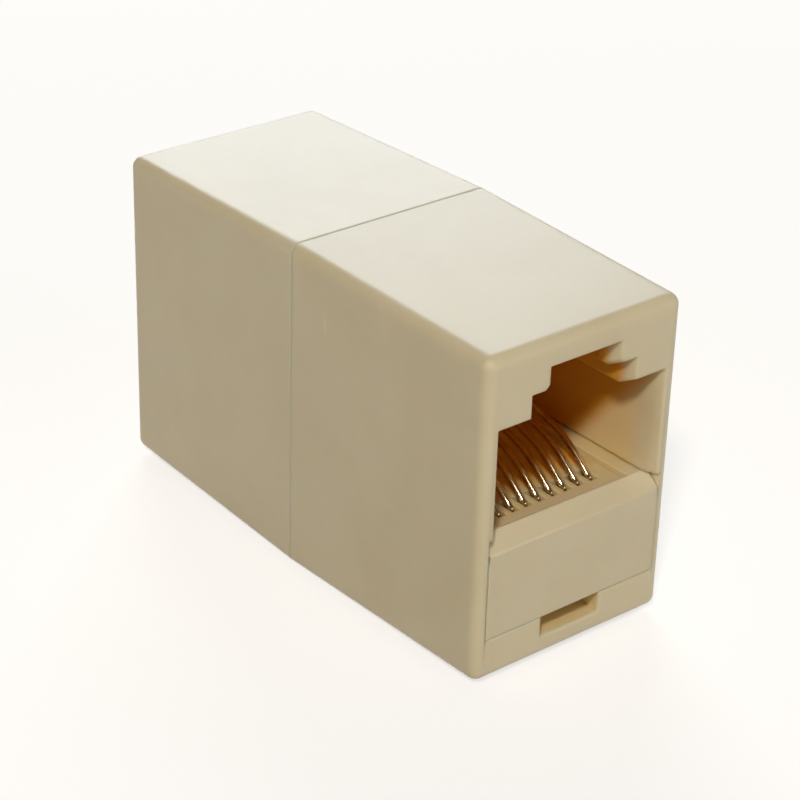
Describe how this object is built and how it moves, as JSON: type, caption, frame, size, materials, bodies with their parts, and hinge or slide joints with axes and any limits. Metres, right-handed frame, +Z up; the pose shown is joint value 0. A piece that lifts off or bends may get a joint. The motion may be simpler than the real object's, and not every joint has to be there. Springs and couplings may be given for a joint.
{
  "type": "rj45 inline coupler",
  "caption": "Ivory inline coupler that joins two modular network plugs end to end, a tapered two-part shell with sprung gold contacts in each keyed plug opening.",
  "frame": {"origin": "middle of the coupler's footprint, at the lowest line of the shell under the middle seam", "axes": "+X across the plug openings, +Y along the coupler from the front opening to the rear one, +Z up towards the latch keyways"},
  "size_m": [0.015, 0.035, 0.0217],
  "materials": {
    "housing_plastic": "ivory, softly glossy, slightly translucent moulded plastic",
    "insert_plastic": "ivory, satin moulded plastic",
    "gold_plated_wire": "bright gold plating on drawn wire",
    "tinned_crimp": "dull tin plating",
    "lead_blue": "soft extruded insulation",
    "lead_orange": "soft extruded insulation",
    "lead_black": "soft extruded insulation",
    "lead_red": "soft extruded insulation",
    "lead_green": "soft extruded insulation",
    "lead_yellow": "soft extruded insulation",
    "lead_brown": "soft extruded insulation",
    "lead_grey": "soft extruded insulation"
  },
  "bodies": {
    "root": {"front_housing": "housing_plastic", "front_contact_insert": "insert_plastic", "front_contact_1": "gold_plated_wire", "front_contact_2": "gold_plated_wire", "front_contact_3": "gold_plated_wire", "front_contact_4": "gold_plated_wire", "front_contact_5": "gold_plated_wire", "front_contact_6": "gold_plated_wire", "front_contact_7": "gold_plated_wire", "front_contact_8": "gold_plated_wire", "front_crimp_1": "tinned_crimp", "front_crimp_2": "tinned_crimp", "front_crimp_3": "tinned_crimp", "front_crimp_4": "tinned_crimp", "front_crimp_5": "tinned_crimp", "front_crimp_6": "tinned_crimp", "front_crimp_7": "tinned_crimp", "front_crimp_8": "tinned_crimp", "rear_housing": "housing_plastic", "rear_contact_insert": "insert_plastic", "rear_contact_1": "gold_plated_wire", "rear_contact_2": "gold_plated_wire", "rear_contact_3": "gold_plated_wire", "rear_contact_4": "gold_plated_wire", "rear_contact_5": "gold_plated_wire", "rear_contact_6": "gold_plated_wire", "rear_contact_7": "gold_plated_wire", "rear_contact_8": "gold_plated_wire", "rear_crimp_1": "tinned_crimp", "rear_crimp_2": "tinned_crimp", "rear_crimp_3": "tinned_crimp", "rear_crimp_4": "tinned_crimp", "rear_crimp_5": "tinned_crimp", "rear_crimp_6": "tinned_crimp", "rear_crimp_7": "tinned_crimp", "rear_crimp_8": "tinned_crimp", "link_lead_1": "lead_blue", "link_lead_2": "lead_orange", "link_lead_3": "lead_black", "link_lead_4": "lead_red", "link_lead_5": "lead_green", "link_lead_6": "lead_yellow", "link_lead_7": "lead_brown", "link_lead_8": "lead_grey"}
  },
  "joints": []
}
